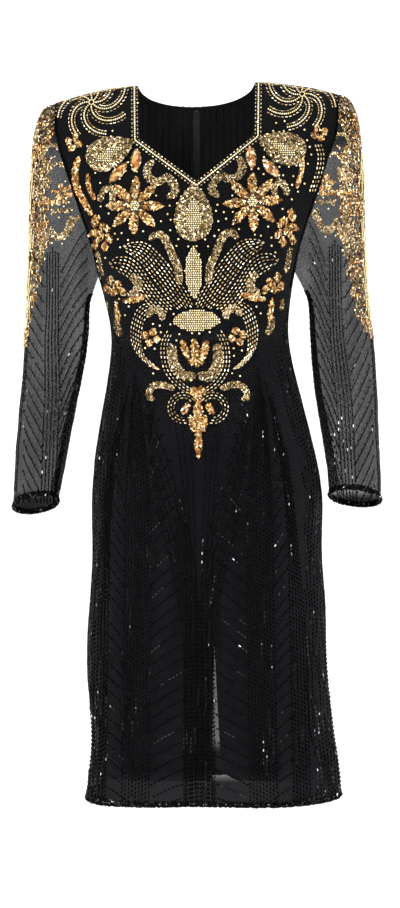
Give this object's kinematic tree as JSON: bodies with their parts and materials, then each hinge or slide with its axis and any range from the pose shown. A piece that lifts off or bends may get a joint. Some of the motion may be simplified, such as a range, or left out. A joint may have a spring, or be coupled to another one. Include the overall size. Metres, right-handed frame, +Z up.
{
  "type": "beaded formal dress",
  "caption": "Knee-length black sheer evening dress with squared shoulders, long sleeves, a notched V neckline, a gold and cream beaded bodice and a zip at the back.",
  "frame": {"origin": "middle of the neck opening between the two neck points, where the dress hangs from the wearer's shoulders", "axes": "+Z up, front towards -Y; left in the nodes' names is the left as seen from the front, towards -X"},
  "size_m": [0.5281, 0.2755, 1.0237],
  "materials": {
    "silk": "sheer black silk covered in black bugle beads",
    "sheer_silk": "sheer black silk with lines of black bugle beads",
    "lining": "smooth black lining",
    "bead_edging": "glossy black beads",
    "pearl": "cream pearl beads",
    "gold_beads": "antique gold beads",
    "amber": "amber stones and beads",
    "zip_tape": "black coil on tape",
    "zip_metal": "black enamel"
  },
  "bodies": {
    "dress": {"back_left": "silk", "back_right": "silk", "cuff_roll_left": "bead_edging", "cuff_roll_right": "bead_edging", "drop_centre": "gold_beads", "drop_left": "gold_beads", "drop_right": "gold_beads", "front": "silk", "hem_roll": "bead_edging", "lining_back": "lining", "lining_front": "lining", "marquise_centre": "pearl", "oval_centre": "pearl", "pearls_left_lower": "pearl", "pearls_left_middle": "pearl", "pearls_left_upper": "pearl", "pearls_right_lower": "pearl", "pearls_right_middle": "pearl", "pearls_right_upper": "pearl", "sleeve_left": "sheer_silk", "sleeve_right": "sheer_silk", "star_left": "amber", "star_right": "amber", "stone_inner_left": "amber", "stone_inner_right": "amber", "stone_outer_left": "amber", "stone_outer_right": "amber", "zip_chain": "zip_tape", "zip_slider": "zip_metal"},
    "zip_pull": {"zip_pull": "zip_metal"}
  },
  "joints": [
    {"name": "zip_pull_swing", "type": "hinge", "parent": "dress", "child": "zip_pull", "pos_m": [0, 0.07303, -0.05105], "axis": [1, 0, 0], "range_deg": [0, 165]}
  ]
}
